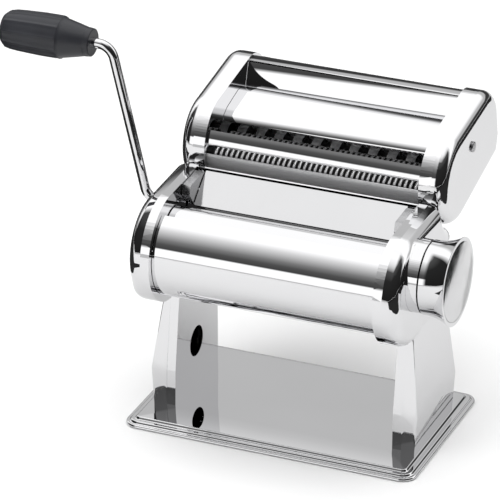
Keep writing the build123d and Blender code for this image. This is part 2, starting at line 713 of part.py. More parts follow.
REAR_GUIDE = ((50.0, 26.3), (43.0, 14.5), (38.5, 2.0), (39.6, 1.6), (44.1, 14.0), (50.8, 25.2))
cutter_rear_guide = bent_sheet(HEAD_SECTION, REAR_GUIDE, HEAD_HALF)
finish(cutter_rear_guide, "cutter_rear_guide")

REAR_SHELL = (
    (51.2, 26.8), (60, 24.8), (68, 19), (73, 9), (73.4, -12), (67, -25), (50, -25.6), (50, -24.4), (66.2, -23.8),
    (72.2, -11.6), (71.8, 8.6), (67, 18), (59.4, 23.6), (51.2, 25.6),
)
cutter_rear_shell = bent_sheet(HEAD_SECTION, REAR_SHELL, HEAD_HALF)
finish(cutter_rear_shell, "cutter_rear_shell")

MIDDLE_GUARD = (
    (3.6, 11.4), (6, 14.6), (12, 16.4), (30, 17.2), (36.6, 15.6), (39.6, 12.6),
    (38.8, 11.8), (36.1, 14.4), (30, 16.0), (12, 15.2), (6.8, 13.6), (4.6, 10.8),
)
cutter_middle_guard = bent_sheet(HEAD_SECTION, MIDDLE_GUARD, HEAD_HALF)
finish(cutter_middle_guard, "cutter_middle_guard")

cutter_front_guard = arc_sheet(HEAD_SECTION, (0, 0), CUT_GUARD_R, 134, 155, GUARD_SHEET, HEAD_HALF)
finish(cutter_front_guard, "cutter_front_guard")
cutter_lower_plate = arc_sheet(HEAD_SECTION, (0, 0), CUT_GUARD_R, 168.5, 205, GUARD_SHEET, HEAD_HALF)
finish(cutter_lower_plate, "cutter_lower_plate")


# ---------------------------------------------------------------- cutting head: rollers
RING_HALF = 70.0
HEAD_GEAR_X = -84.0
HEAD_GEAR_WIDTH = 5.0


def ring_edges(ring, phase):
    """Start and end of every ring of one cutting roller, as x values."""
    edges = []
    x = -RING_HALF + phase * ring
    while x + ring <= RING_HALF + 0.01:
        edges.append((x + RING_SIDE_PLAY, x + ring - RING_SIDE_PLAY))
        x += 2 * ring
    return edges


def cutter_profile(ring, phase, left_end):
    """Half section of a grooved cutting roller with its shaft, as (x, radius)."""
    end = HEAD_HALF - 0.4
    points = [(left_end, 0), (left_end, CUT_SHAFT_R), (-end, CUT_SHAFT_R), (-end, CUT_CORE_R)]
    for start, stop in ring_edges(ring, phase):
        points += [(start, CUT_CORE_R), (start, CUT_ROLLER_R), (stop, CUT_ROLLER_R), (stop, CUT_CORE_R)]
    points += [(end, CUT_CORE_R), (end, CUT_SHAFT_R), (CUT_RIM_X - 2, CUT_SHAFT_R), (CUT_RIM_X - 2, 0)]
    return points


SOCKET_END_X = -CUT_COVER_X - 0.5
HEAD_GEAR_R = CUT_PITCH / 2
HEAD_TOOTH = pi * HEAD_GEAR_R / CUT_TEETH - 0.35
for name, place in HEAD_ROLLERS.items():
    family, row = name.split("_")
    ring = WIDE_RING if family == "wide" else FINE_RING
    phase = 1 if row == "rear" else 0
    y, z = head_point(*place)
    plane = axis_plane(y, z)
    driven = place in DRIVEN
    with BuildPart() as cutting_roller:
        with BuildSketch(plane):
            with BuildLine():
                Polyline(*cutter_profile(ring, phase, HEAD_GEAR_X if not driven else SOCKET_END_X), close=True)
            make_face()
        revolve(axis=Axis(plane.origin, plane.x_dir))
        if driven:
            with BuildSketch(side_plane(SOCKET_END_X)):
                with Locations((y, z)):
                    Circle(HEAD_SOCKET_R)
            extrude(amount=HEAD_GEAR_X - 0.5 - SOCKET_END_X)
            with Locations(Plane(origin=(SOCKET_END_X, y, z), z_dir=(-1, 0, 0))):
                Hole(CRANK_SOCKET_R, depth=6.0)
    finish(cutting_roller, f"{name}_cutter")
    toward = 0.0 if row == "front" else 180.0 + 180.0 / CUT_TEETH
    teeth = gear_outline(HEAD_GEAR_R, CUT_TEETH, HEAD_GEAR_R + 1.3, HEAD_GEAR_R - 1.75, HEAD_TOOTH, toward + CUT_TILT)
    finish(spur_gear(side_plane(HEAD_GEAR_X), (y, z), teeth, HEAD_GEAR_WIDTH, CUT_SHAFT_R), f"{name}_cutter_gear")


def make_comb(ring, front, rear):
    """Strippers below one pair: a bar per roller with a finger in every groove."""
    with BuildPart() as comb:
        for place, phase, lean in ((front, 0, -1), (rear, 1, 1)):
            bar_u = place[0] + lean * 3.0
            bar_v = place[1] - CUT_ROLLER_R - 2.4
            with BuildSketch(HEAD_SECTION):
                with Locations((bar_u, bar_v)):
                    Rectangle(4.0, 2.6)
            extrude(amount=HEAD_HALF, both=True)
            rings = ring_edges(ring, phase)
            for (_, stop), (start, _) in zip(rings, rings[1:]):
                with BuildSketch(head_plane(stop + 0.2)):
                    with Locations((bar_u, bar_v + 1.3)):
                        Rectangle(1.6, 1.6, align=(Align.CENTER, Align.MIN))
                extrude(amount=start - stop - 0.4)
    return comb


wide_comb = make_comb(WIDE_RING, WIDE_FRONT, WIDE_REAR)
finish(wide_comb, "wide_comb")
fine_comb = make_comb(FINE_RING, FINE_FRONT, FINE_REAR)
finish(fine_comb, "fine_comb")


# ---------------------------------------------------------------- seat of the cutting head
SEAT_WIDTH = 9.0
SEAT_X = CUT_INNER_X - SEAT_WIDTH / 2
SEAT_Y = 34.5
SEAT_TOP_Z = 128.0
SEAT_PIN_R = 3.0
SEAT_PIN_HEIGHT = 11.0
with BuildPart() as head_brackets:
    for side in (-1, 1):
        with Locations((side * (INNER_X - 6), 30, SEAT_TOP_Z - 1.5)):
            Box(12, 18, 3)
        with Locations((side * (INNER_X - 1), 24.5, SEAT_TOP_Z - 5)):
            Box(2, 7, 10)
finish(head_brackets, "head_brackets")

with BuildPart() as head_pins:
    for side in (-1, 1):
        with Locations((side * SEAT_X, SEAT_Y, SEAT_TOP_Z)):
            Cylinder(SEAT_PIN_R, SEAT_PIN_HEIGHT, align=(Align.CENTER, Align.CENTER, Align.MIN))
finish(head_pins, "head_pins")

with BuildPart() as head_sockets:
    for side in (-1, 1):
        with Locations((side * SEAT_X, SEAT_Y, SEAT_TOP_Z)):
            Box(SEAT_WIDTH, 9, 14, align=(Align.CENTER, Align.CENTER, Align.MIN))
        with Locations((side * SEAT_X, SEAT_Y, SEAT_TOP_Z)):
            Cylinder(SEAT_PIN_R + RUN, 12, align=(Align.CENTER, Align.CENTER, Align.MIN), mode=Mode.SUBTRACT)
finish(head_sockets, "head_sockets")
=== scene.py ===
import json
import math

import bmesh
import bpy
import numpy as np
from bpy.props import FloatProperty, FloatVectorProperty, IntProperty, PointerProperty
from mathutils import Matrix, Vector

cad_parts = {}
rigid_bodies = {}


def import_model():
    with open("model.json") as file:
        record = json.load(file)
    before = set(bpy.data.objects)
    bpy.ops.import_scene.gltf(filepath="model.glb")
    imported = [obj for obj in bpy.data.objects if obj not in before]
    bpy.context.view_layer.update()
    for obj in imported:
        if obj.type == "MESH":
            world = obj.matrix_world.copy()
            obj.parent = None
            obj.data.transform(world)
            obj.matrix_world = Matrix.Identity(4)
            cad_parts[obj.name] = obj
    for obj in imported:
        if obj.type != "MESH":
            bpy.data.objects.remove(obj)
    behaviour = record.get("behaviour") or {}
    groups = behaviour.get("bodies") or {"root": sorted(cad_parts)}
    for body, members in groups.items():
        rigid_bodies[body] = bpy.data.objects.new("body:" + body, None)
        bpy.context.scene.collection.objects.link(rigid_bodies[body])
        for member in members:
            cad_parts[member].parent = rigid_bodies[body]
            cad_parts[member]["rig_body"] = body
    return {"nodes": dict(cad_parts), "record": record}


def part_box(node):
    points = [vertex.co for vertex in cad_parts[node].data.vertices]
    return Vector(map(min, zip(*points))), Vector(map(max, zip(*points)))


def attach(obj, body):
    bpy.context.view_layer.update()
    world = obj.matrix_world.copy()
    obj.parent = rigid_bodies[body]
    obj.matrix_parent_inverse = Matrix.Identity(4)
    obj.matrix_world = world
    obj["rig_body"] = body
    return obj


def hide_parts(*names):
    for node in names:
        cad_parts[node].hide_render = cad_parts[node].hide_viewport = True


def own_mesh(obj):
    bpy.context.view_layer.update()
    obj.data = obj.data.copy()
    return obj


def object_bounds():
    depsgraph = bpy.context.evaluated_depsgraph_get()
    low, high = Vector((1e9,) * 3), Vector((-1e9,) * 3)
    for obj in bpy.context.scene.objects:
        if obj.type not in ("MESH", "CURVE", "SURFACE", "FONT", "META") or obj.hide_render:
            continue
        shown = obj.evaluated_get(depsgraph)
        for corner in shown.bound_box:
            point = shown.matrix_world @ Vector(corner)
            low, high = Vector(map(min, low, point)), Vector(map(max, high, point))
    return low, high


bl_info = {
    "name": "Pasta Roller Machine",
    "version": (1, 0, 0),
    "blender": (4, 5, 0),
    "location": "3D View > Sidebar > Pasta Machine",
    "description": "Builds the visible pieces and finishes of a hand-cranked pasta roller machine",
    "category": "Object",
}

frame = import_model()
CAD_LOW, CAD_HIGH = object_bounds()
MM = 0.001


def span(node, axis):
    """Lowest and highest value of a CAD node along one axis."""
    low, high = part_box(node)
    return low[axis], high[axis]


def middle(node, axis):
    """Half way along one axis of a CAD node."""
    low, high = span(node, axis)
    return (low + high) / 2


# ------------------------------------------------------------------ sizes and colours
class PastaMachineSizes(bpy.types.PropertyGroup):
    """Sizes of the formed pieces that the CAD frame doesn't give"""

    base_round: FloatProperty(
        name="Base step round",
        description="Radius of the pressed steps of the base",
        default=0.55 * MM,
        unit="LENGTH",
    )
    grip_flutes: IntProperty(name="Grip flutes", description="Lengthwise panels round the crank grip", default=11)
    grip_flute_depth: FloatProperty(
        name="Grip flute depth", description="How far a panel lies under its ridges", default=0.55 * MM, unit="LENGTH"
    )
    rod_radius: FloatProperty(
        name="Crank rod radius", description="Radius of the bent crank rod", default=3.25 * MM, unit="LENGTH"
    )
    rod_bend: FloatProperty(
        name="Crank rod bend", description="Bend radius on the rod's centre line", default=11 * MM, unit="LENGTH"
    )


class PastaMachineFinish(bpy.types.PropertyGroup):
    """Colours of the finishes"""

    chrome: FloatVectorProperty(
        name="Chrome",
        description="Colour of the polished plating",
        default=(0.80, 0.80, 0.81),
        size=3,
        subtype="COLOR",
    )
    chrome_roughness: FloatProperty(
        name="Chrome roughness", description="Roughness of the polished plating", default=0.012, subtype="FACTOR"
    )
    steel: FloatVectorProperty(
        name="Steel", description="Colour of the satin steel", default=(0.60, 0.60, 0.61), size=3, subtype="COLOR"
    )
    grip: FloatVectorProperty(
        name="Grip", description="Colour of the crank grip", default=(0.022, 0.023, 0.028), size=3, subtype="COLOR"
    )
    rubber: FloatVectorProperty(
        name="Rubber",
        description="Colour of the pad under the base",
        default=(0.03, 0.03, 0.03),
        size=3,
        subtype="COLOR",
    )


# ------------------------------------------------------------------ materials
def new_material(name):
    """An empty node material with its shader and output."""
    material = bpy.data.materials.new(name)
    material.use_nodes = True
    return material, material.node_tree, material.node_tree.nodes["Principled BSDF"]


def noise(tree, scale, detail=3.0, stretch=(1, 1, 1)):
    """Noise on object coordinates, stretched along an axis for a drawn or brushed grain."""
    place = tree.nodes.new("ShaderNodeTexCoord")
    mapping = tree.nodes.new("ShaderNodeMapping")
    mapping.inputs["Scale"].default_value = stretch
    pattern = tree.nodes.new("ShaderNodeTexNoise")
    pattern.inputs["Scale"].default_value = scale
    pattern.inputs["Detail"].default_value = detail
    tree.links.new(place.outputs["Object"], mapping.inputs["Vector"])
    tree.links.new(mapping.outputs["Vector"], pattern.inputs["Vector"])
    return pattern.outputs["Fac"]


def ramp(tree, source, stops):
    """A colour ramp over a 0 to 1 value, from (position, grey or colour) stops."""
    node = tree.nodes.new("ShaderNodeValToRGB")
    elements = node.color_ramp.elements
    elements.remove(elements[1])
    for count, (position, value) in enumerate(stops):
        element = elements.new(position) if count else elements[0]
        element.position = position
        element.color = (*(value if isinstance(value, tuple) else (value, value, value)), 1)
    tree.links.new(source, node.inputs["Fac"])
    return node.outputs["Color"]


def bump(tree, shader, height, strength, distance):
    """Relief from a height value."""
    node = tree.nodes.new("ShaderNodeBump")
    node.inputs["Strength"].default_value = strength
    node.inputs["Distance"].default_value = distance
    tree.links.new(height, node.inputs["Height"])
    tree.links.new(node.outputs["Normal"], shader.inputs["Normal"])


def polished_plate(name, colour, roughness, grain=(1, 1, 1), ripple=0.02):
    """Mirror plating: faint polishing haze in the roughness and a slow ripple in the sheet."""
    material, tree, shader = new_material(name)
    shader.inputs["Metallic"].default_value = 1.0
    haze = ramp(tree, noise(tree, 90, 4, grain), [(0.35, roughness * 0.75), (0.7, roughness * 1.5)])
    tree.links.new(haze, shader.inputs["Roughness"])
    tint = ramp(tree, noise(tree, 14, 2), [(0.3, tuple(c * 0.97 for c in colour)), (0.7, tuple(colour))])
    tree.links.new(tint, shader.inputs["Base Color"])
    bump(tree, shader, noise(tree, 9, 1), ripple, 0.002)
    return material


def satin_steel(name, colour, roughness, grain, metal=1.0):
    """Drawn steel: fine lines along the grain in colour, roughness and relief."""
    material, tree, shader = new_material(name)
    shader.inputs["Metallic"].default_value = metal
    lines = noise(tree, 420, 3, grain)
    tint = ramp(tree, lines, [(0.25, tuple(c * 0.86 for c in colour)), (0.75, tuple(colour))])
    tree.links.new(tint, shader.inputs["Base Color"])
    tree.links.new(ramp(tree, lines, [(0.2, roughness * 0.8), (0.8, roughness * 1.3)]), shader.inputs["Roughness"])
    bump(tree, shader, lines, 0.05, 0.0002)
    return material


def moulded_plastic(name, colour, roughness, coarse):
    """Moulded plastic: leathery spark texture, worn smoother in patches."""
    material, tree, shader = new_material(name)
    cells = noise(tree, coarse, 5)
    patches = noise(tree, 35, 2)
    tint = ramp(tree, patches, [(0.3, tuple(c * 0.8 for c in colour)), (0.75, tuple(c * 1.25 for c in colour))])
    tree.links.new(tint, shader.inputs["Base Color"])
    worn = ramp(tree, patches, [(0.3, roughness * 0.85), (0.7, roughness * 1.15)])
    tree.links.new(worn, shader.inputs["Roughness"])
    bump(tree, shader, cells, 0.25, 0.0003)
    return material


def ringed_roller(name, colour, roughness, shine, y, z, groove):
    """Plating over the rings of a cutting roller on the axis (y, z). Nearer the axis than groove it is dull and
    dark, painted shade in the grooves between the rings, and from there out it has the ring's colour and roughness,
    with shine as its share of metal."""
    material, tree, shader = new_material(name)
    place = tree.nodes.new("ShaderNodeTexCoord")
    off_axis = tree.nodes.new("ShaderNodeVectorMath")
    off_axis.operation = "MULTIPLY_ADD"
    off_axis.inputs[1].default_value = (0, 1, 1)
    off_axis.inputs[2].default_value = (0, -y, -z)
    reach = tree.nodes.new("ShaderNodeVectorMath")
    reach.operation = "LENGTH"
    groove_shade_ramp = tree.nodes.new("ShaderNodeMapRange")
    groove_shade_ramp.inputs["From Min"].default_value = groove - 0.3 * MM
    groove_shade_ramp.inputs["From Max"].default_value = groove
    tree.links.new(place.outputs["Object"], off_axis.inputs[0])
    tree.links.new(off_axis.outputs["Vector"], reach.inputs[0])
    tree.links.new(reach.outputs["Value"], groove_shade_ramp.inputs["Value"])
    top = groove_shade_ramp.outputs["Result"]
    # Painted shade: inside the groove radius the base colour falls to near black, shade painted into the recesses
    # between the rings.
    tree.links.new(ramp(tree, top, [(0.0, 0.012), (1.0, tuple(colour))]), shader.inputs["Base Color"])
    tree.links.new(ramp(tree, top, [(0.0, 0.6), (1.0, roughness)]), shader.inputs["Roughness"])
    tree.links.new(ramp(tree, top, [(0.0, 0.0), (1.0, shine)]), shader.inputs["Metallic"])
    bump(tree, shader, noise(tree, 420, 3, (14, 1, 1)), 0.02, 0.0001)
    return material


def build_finishes(finish):
    """Every finish of the machine, by its short name."""
    chrome = tuple(finish.chrome)
    steel = tuple(finish.steel)
    shine = finish.chrome_roughness
    return {
        "cover": polished_plate("PolishedCover", chrome, shine),
        "base": polished_plate("PolishedBase", tuple(c * 0.98 for c in chrome), shine, ripple=0.012),
        "tray": polished_plate("PolishedTray", tuple(c * 0.78 for c in chrome), 0.09, (14, 1, 1)),
        "roller": polished_plate("PolishedRoller", tuple(c * 0.96 for c in chrome), shine * 1.4, (1, 12, 12), 0.0),
        "cutter": polished_plate("PolishedCutter", tuple(c * 0.95 for c in chrome), shine * 2.0, (1, 12, 12), 0.0),
        "dial": polished_plate("PolishedDial", tuple(c * 0.97 for c in chrome), shine, ripple=0.0),
        "dial_face": polished_plate("SpunDialFace", tuple(c * 0.92 for c in chrome), 0.16, (12, 1, 1), 0.0),
        "rod": polished_plate("PolishedRod", chrome, shine, ripple=0.0),
        "steel": satin_steel("SatinSteel", steel, 0.22, (1, 1, 14)),
        "gear": satin_steel("CutGearSteel", tuple(c * 0.8 for c in steel), 0.36, (14, 1, 1)),
        "hardware": satin_steel("ZincHardware", tuple(c * 0.95 for c in steel), 0.3, (6, 1, 1)),
        "bronze": satin_steel("BearingBronze", (0.42, 0.28, 0.13), 0.4, (4, 1, 1)),
        "grip": moulded_plastic("GripPlastic", tuple(finish.grip), 0.42, 900),
        "plate": satin_steel("SatinPlate", tuple(c * 0.95 for c in chrome), 0.42, (1, 14, 14), 0.6),
        "guide": moulded_plastic("GuidePlastic", (0.012, 0.012, 0.014), 0.38, 700),
        "rubber": moulded_plastic("PadRubber", tuple(finish.rubber), 0.75, 500),
    }


FINISH = {}
SLOT_FINISH = {
    "cover_chrome": "cover",
    "base_chrome": "base",
    "tray_chrome": "tray",
    "frame_steel": "steel",
    "roller_steel": "roller",
    "cutter_steel": "cutter",
    "gear_steel": "gear",
    "hardware_steel": "hardware",
    "bearing_bronze": "bronze",
    "dial_chrome": "dial",
    "crank_chrome": "rod",
    "grip_plastic": "grip",
    "guide_plastic": "guide",
    "pad_rubber": "rubber",
}
NODE_SLOT = {row["node"]: row["material_slot"] for row in frame["record"]["subparts"]}


# Brightness of the room straight ahead and behind, by the angle about X of the direction looked in: 0 is
# the front horizon, 90 is overhead and 180 is the horizon behind.
ROOM_BY_ANGLE = (
    (-180, 0.05),
    (-174, 0.9),
    (-1, 1.3),
    (16, 1.3),
    (17.5, 0.06),
    (28, 0.10),
    (38, 0.24),
    (48, 0.5),
    (60, 0.85),
    (72, 1.3),
    (136, 1.3),
    (147, 0.6),
    (158, 0.6),
    (164, 0.05),
    (180, 0.05),
)
# Brightness off to the sides, by the height of the direction looked in.
SIDE_BY_HEIGHT = [(0.0, 0.015), (0.6, 0.025), (0.82, 0.09), (0.93, 0.9), (1.0, 1.3)]
# Share of the side room, from 0 at the far left to 1 at the far right, and from 0 behind to 1 ahead.
SHARE_ACROSS = [(0.24, 1.0), (0.29, 0.0), (0.40, 0.0), (0.47, 1.0)]
SHARE_AHEAD = [(0.36, 0.0), (0.46, 1.0)]


# ------------------------------------------------------------------ surfaces
def soften(profile, radius, steps=5):
    """Round every corner of a closed profile: each corner P becomes the curve
    (1-t)^2 A + 2t(1-t) P + t^2 B, where A and B lie a radius along its two sides."""
    corners = np.asarray(profile, float)
    before = np.roll(corners, 1, axis=0) - corners
    after = np.roll(corners, -1, axis=0) - corners
    lengths = [np.linalg.norm(side, axis=1, keepdims=True) for side in (before, after)]
    a = corners + before / lengths[0] * np.minimum(radius, lengths[0] * 0.45)
    b = corners + after / lengths[1] * np.minimum(radius, lengths[1] * 0.45)
    t = np.linspace(0, 1, steps)[None, :, None]
    curves = (1 - t) ** 2 * a[:, None] + 2 * t * (1 - t) * corners[:, None] + t**2 * b[:, None]
    return curves.reshape(-1, corners.shape[1])


def skin(name, grid, close_rows=False, cap=True, sharp=40):
    """A mesh over a grid of points: rows of one loop each, joined into quads, with closed loops
    and, unless the rows close too, a face over the first and the last loop."""
    rows, columns = grid.shape[:2]
    index = np.arange(rows * columns).reshape(rows, columns)
    lower = index if close_rows else index[:-1]
    upper = np.roll(index, -1, axis=0) if close_rows else index[1:]
    quads = np.stack([lower, np.roll(lower, -1, axis=1), np.roll(upper, -1, axis=1), upper], axis=-1)
    faces = quads.reshape(-1, 4).tolist()
    if cap and not close_rows:
        faces += [index[0, ::-1].tolist(), index[-1].tolist()]
    mesh = bpy.data.meshes.new(name)
    mesh.from_pydata(grid.reshape(-1, 3).tolist(), [], faces)
    work = bmesh.new()
    work.from_mesh(mesh)
    bmesh.ops.remove_doubles(work, verts=work.verts, dist=1e-6)
    bmesh.ops.dissolve_degenerate(work, edges=work.edges, dist=1e-7)
    bmesh.ops.recalc_face_normals(work, faces=work.faces)
    work.to_mesh(mesh)
    work.free()
    mesh.polygons.foreach_set("use_smooth", np.ones(len(mesh.polygons), bool))
    mesh.set_sharp_from_angle(angle=math.radians(sharp))
    piece = bpy.data.objects.new(name, mesh)
    bpy.context.scene.collection.objects.link(piece)
    return piece


def lathe(name, profile, y, z, around=112, closed=True):
    """Surface of revolution about a line along X through (y, z): for a profile point (x, r) and an
    angle q the point is (x, y + r cos q, z + r sin q)."""
    points = np.asarray(profile, float)
    q = np.linspace(0, 2 * np.pi, around, endpoint=False)
    x = np.repeat(points[:, :1], around, axis=1)
    grid = np.stack([x, y + points[:, 1:] * np.cos(q), z + points[:, 1:] * np.sin(q)], axis=-1)
    return skin(name, grid, close_rows=closed, cap=not closed)


def carried(name, profile, x0, x1):
    """A closed profile carried along X: a profile point (y, z) becomes (x0, y, z) and (x1, y, z)."""
    loop = np.asarray(profile, float)
    x = np.array([x0, x1])
    grid = np.stack(
        [np.repeat(x[:, None], len(loop), axis=1), np.tile(loop[:, 0], (2, 1)), np.tile(loop[:, 1], (2, 1))], axis=-1
    )
    return skin(name, grid)


def arc_points(centre, radius, start, end, count):
    """Points C + R (cos q, sin q) of a circle, for q from one angle to another in degrees."""
    q = np.radians(np.linspace(start, end, count))
    return np.stack([centre[0] + radius * np.cos(q), centre[1] + radius * np.sin(q)], axis=-1)


def bent_line(route, bend, steps):
    """A line of straight runs with its inner corners bent to the radius R. With u and v the unit vectors
    from a corner P along its two runs, and h half the angle between them, the arc is centred on
    P + (u + v) / |u + v| R / sin h and runs from P + u R / tan h to P + v R / tan h."""
    points = [route[:1]]
    for before, corner, after in zip(route, route[1:], route[2:]):
        u = (before - corner) / np.linalg.norm(before - corner)
        v = (after - corner) / np.linalg.norm(after - corner)
        half = math.acos(float(np.clip(u @ v, -1, 1))) / 2
        start, end = corner + u * bend / math.tan(half), corner + v * bend / math.tan(half)
        centre = corner + (u + v) / np.linalg.norm(u + v) * bend / math.sin(half)
        q0 = math.atan2(*(start - centre)[::-1])
        q1 = math.atan2(*(end - centre)[::-1])
        q1 = q0 + (q1 - q0 + math.pi) % (2 * math.pi) - math.pi
        q = np.linspace(q0, q1, steps)
        points.append(centre + bend * np.stack([np.cos(q), np.sin(q)], axis=-1))
    return np.concatenate([*points, route[-1:]])


def round_bar(line, y, radius, around):
    """Loops of a round bar along a line of (x, z) points in the plane of y: with N the line's normal, the
    point at angle q is (line + r cos q N, y + r sin q)."""
    ahead = np.gradient(line, axis=0)
    ahead /= np.linalg.norm(ahead, axis=1, keepdims=True)
    across = np.stack([-ahead[:, 1], ahead[:, 0]], axis=-1)
    q = np.linspace(0, 2 * np.pi, around, endpoint=False)
    x = line[:, :1] + radius * np.cos(q) * across[:, :1]
    z = line[:, 1:] + radius * np.cos(q) * across[:, 1:]
    return np.stack([x, np.tile(y + radius * np.sin(q), (len(line), 1)), z], axis=-1)


def put(piece, finish, body, slot, *nodes):
    """Give a new piece its finish and its body and hide the CAD nodes that it stands for; the slot is not used."""
    piece.data.materials.clear()
    piece.data.materials.append(FINISH[finish])
    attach(piece, body)
    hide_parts(*nodes)
    return piece


def smooth_copy(node, name, finish, sharp=32):
    """A merged copy of a CAD node with smooth shading over its rounded faces and flat faces kept flat."""
    source = frame["nodes"][node]
    mesh = source.data.copy()
    mesh.name = name
    work = bmesh.new()
    work.from_mesh(mesh)
    bmesh.ops.remove_doubles(work, verts=work.verts, dist=2e-6)
    work.to_mesh(mesh)
    work.free()
    mesh.polygons.foreach_set("use_smooth", np.ones(len(mesh.polygons), bool))
    mesh.set_sharp_from_angle(angle=math.radians(sharp))
    piece = bpy.data.objects.new(name, mesh)
    bpy.context.scene.collection.objects.link(piece)
    weigh = piece.modifiers.new("EvenFlats", "WEIGHTED_NORMAL")
    weigh.keep_sharp = True
    weigh.weight = 100
    return put(piece, finish, source["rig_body"], NODE_SLOT[node], node)


def crown_shoulder(piece, node, axis_y, axis_z, hole):
    """Draw the pressed shoulder of a side cover across the whole rim. At a share s of the way out from
    the rim edge to the outer face the skin goes in by A (1 - sqrt(1 - s^2)), in place of the pressed
    radius R, which starts part of the way out. The inner skin follows at the same station, the leg
    stays as it is and so does the edge of the hole for the shaft."""
    wall, depth, flat, radius, reach = 1.5 * MM, 10 * MM, 4 * MM, 6 * MM, 8.5 * MM
    mesh = piece.data
    place = np.empty(len(mesh.vertices) * 3)
    normal = np.empty(len(mesh.vertices) * 3)
    mesh.vertices.foreach_get("co", place)
    mesh.vertices.foreach_get("normal", normal)
    place, normal = place.reshape(-1, 3), normal.reshape(-1, 3)
    side = np.sign(middle(node, 0))
    rim = abs(place[:, 0]).min()
    outward = np.where(normal[:, 0] * side < -0.001, -1.0, 1.0)
    out = abs(place[:, 0]) - rim
    out = np.where(out < 0.05 * MM, 0.0, out + np.where(outward < 0, wall, 0.0))
    share = np.clip(out / depth, 0, 1)
    old = radius * (1 - np.sqrt(1 - np.clip((out - flat) / radius, 0, 1) ** 2))
    push = reach * (1 - np.sqrt(1 - share**2)) - old
    slope = np.linalg.norm(normal[:, 1:], axis=1)
    inward = -normal[:, 1:] * (outward / np.maximum(slope, 1e-4))[:, None]
    leg_top, fade, hole_edge = 98 * MM, 12 * MM, 0.4 * MM
    height = np.clip((place[:, 2] - leg_top) / fade, 0, 1)
    clear = np.hypot(place[:, 1] - axis_y, place[:, 2] - axis_z) > hole + hole_edge
    weight = np.where((slope > 0.004) & clear, height * height * (3 - 2 * height), 0)
    place[:, 1:] += inward * (push * weight)[:, None]
    mesh.vertices.foreach_set("co", place.ravel())
    mesh.update()


# ------------------------------------------------------------------ operators
class PastaOperator(bpy.types.Operator):
    """Shared start of the machine's operators"""

    bl_options = {"REGISTER", "UNDO"}


class PASTA_OT_finishes(PastaOperator):
    """Make the finishes and give them to the CAD nodes"""

    bl_idname = "pasta.finishes"
    bl_label = "Finishes"

    def execute(self, context):
        FINISH.update(build_finishes(context.scene.pasta_finish))
        for name, node in frame["nodes"].items():
            node.data.materials.clear()
            node.data.materials.append(FINISH[SLOT_FINISH[NODE_SLOT[name]]])
        return {"FINISHED"}


class PASTA_OT_base(PastaOperator):
    """Press the stepped base plate"""

    bl_idname = "pasta.base"
    bl_label = "Base"

    def execute(self, context):
        # One loop at each level of the profile (inset d, height z): a rounded rectangle of half sides A and B
        # and corner radius R. At angle q its point is (+-(A - R) + r cos q, +-(B - R) + r sin q, z), with the
        # signs of cos q and sin q. The radius r is R - d down to the tightest corner, and past it the straight
        # sides come in instead.
        sizes = context.scene.pasta_sizes
        corner_radius, turned = 10 * MM, 8 * MM
        low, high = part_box("base_plate")
        half = np.array([(high.x - low.x) / 2, (high.y - low.y) / 2])
        top = high.z
        rises = [(0.6, 0.3), (0.0, 0.9), (0.3, 1.9), (0.8, 2.4), (2.7, 2.4), (3.4, 3.8), (6.3, 3.8), (7.2, top / MM)]
        profile = np.array([(9.5, 0.3), *rises, (40, top / MM)]) * MM
        steps = 6
        turns = soften(profile, sizes.base_round, steps)[steps:-steps]
        levels = np.concatenate([profile[:1], turns, profile[-1:]])
        q = np.linspace(0, 2 * np.pi, 192, endpoint=False)
        square = np.stack([np.cos(q), np.sin(q)])
        corner = corner_radius - np.minimum(levels[:, 0], turned)
        straight = half[:, None] - corner_radius - np.maximum(levels[:, 0] - turned, 0)
        sign = np.sign(np.round(square, 12))
        x = sign[0] * straight[0][:, None] + square[0] * corner[:, None]
        y = sign[1] * straight[1][:, None] + square[1] * corner[:, None]
        z = np.repeat(levels[:, 1:], len(q), axis=1)
        plate = skin("base_steps", np.stack([x, y, z], axis=-1))
        put(plate, "base", "machine_frame", "base_chrome", "base_plate")
        return {"FINISHED"}


class PASTA_OT_sides(PastaOperator):
    """Smooth the side frames and covers of the body and of the cutting head"""

    bl_idname = "pasta.sides"
    bl_label = "Sides"

    def execute(self, context):
        shafts = {"left": "crank_escutcheon", "right": "dial_collar"}
        for side in ("left", "right"):
            smooth_copy(f"{side}_side_frame", f"{side}_side_pan", "cover")
            shell = smooth_copy(f"{side}_side_cover", f"{side}_side_shell", "cover")
            ring = shafts[side]
            hole = (span(ring, 1)[1] - span(ring, 1)[0]) / 2
            crown_shoulder(shell, f"{side}_side_cover", middle(ring, 1), middle(ring, 2), hole)
            smooth_copy(f"cutter_{side}_frame", f"cutter_{side}_pan", "cover")
            smooth_copy(f"cutter_{side}_cover", f"cutter_{side}_shell", "cover")
        return {"FINISHED"}


